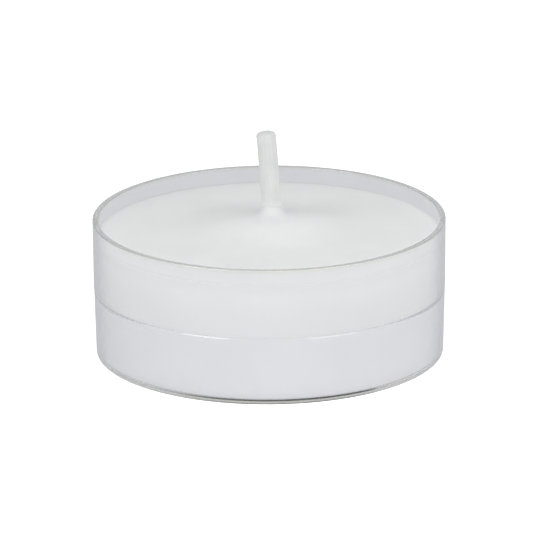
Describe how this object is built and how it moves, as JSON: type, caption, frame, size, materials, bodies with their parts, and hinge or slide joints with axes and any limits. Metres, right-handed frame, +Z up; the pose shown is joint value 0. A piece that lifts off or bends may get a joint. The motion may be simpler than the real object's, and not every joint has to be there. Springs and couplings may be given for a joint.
{
  "type": "tea light candle",
  "caption": "Tea light candle: white wax with a low mound round its wick, poured into a low round clear cup with a fine ledge round its wall.",
  "frame": {"origin": "centre of the foot that the cup stands on", "axes": "+Z up along the cup's axis; -Y is the side that the picture shows; the wick leans towards -X"},
  "size_m": [0.038, 0.038, 0.0246],
  "materials": {
    "clear_cup": "clear moulded plastic with a faint lilac tint, smooth and glossy",
    "white_wax": "white paraffin wax, smooth and softly translucent, faintly cloudy where it meets the cup",
    "waxed_cotton": "braided cotton dipped in white wax, with faint strands along it",
    "tinned_steel": "thin tinned sheet, lightly scuffed"
  },
  "bodies": {
    "root": {"cup": "clear_cup", "wax": "white_wax", "wick": "waxed_cotton", "wick_tab": "tinned_steel"}
  },
  "joints": []
}
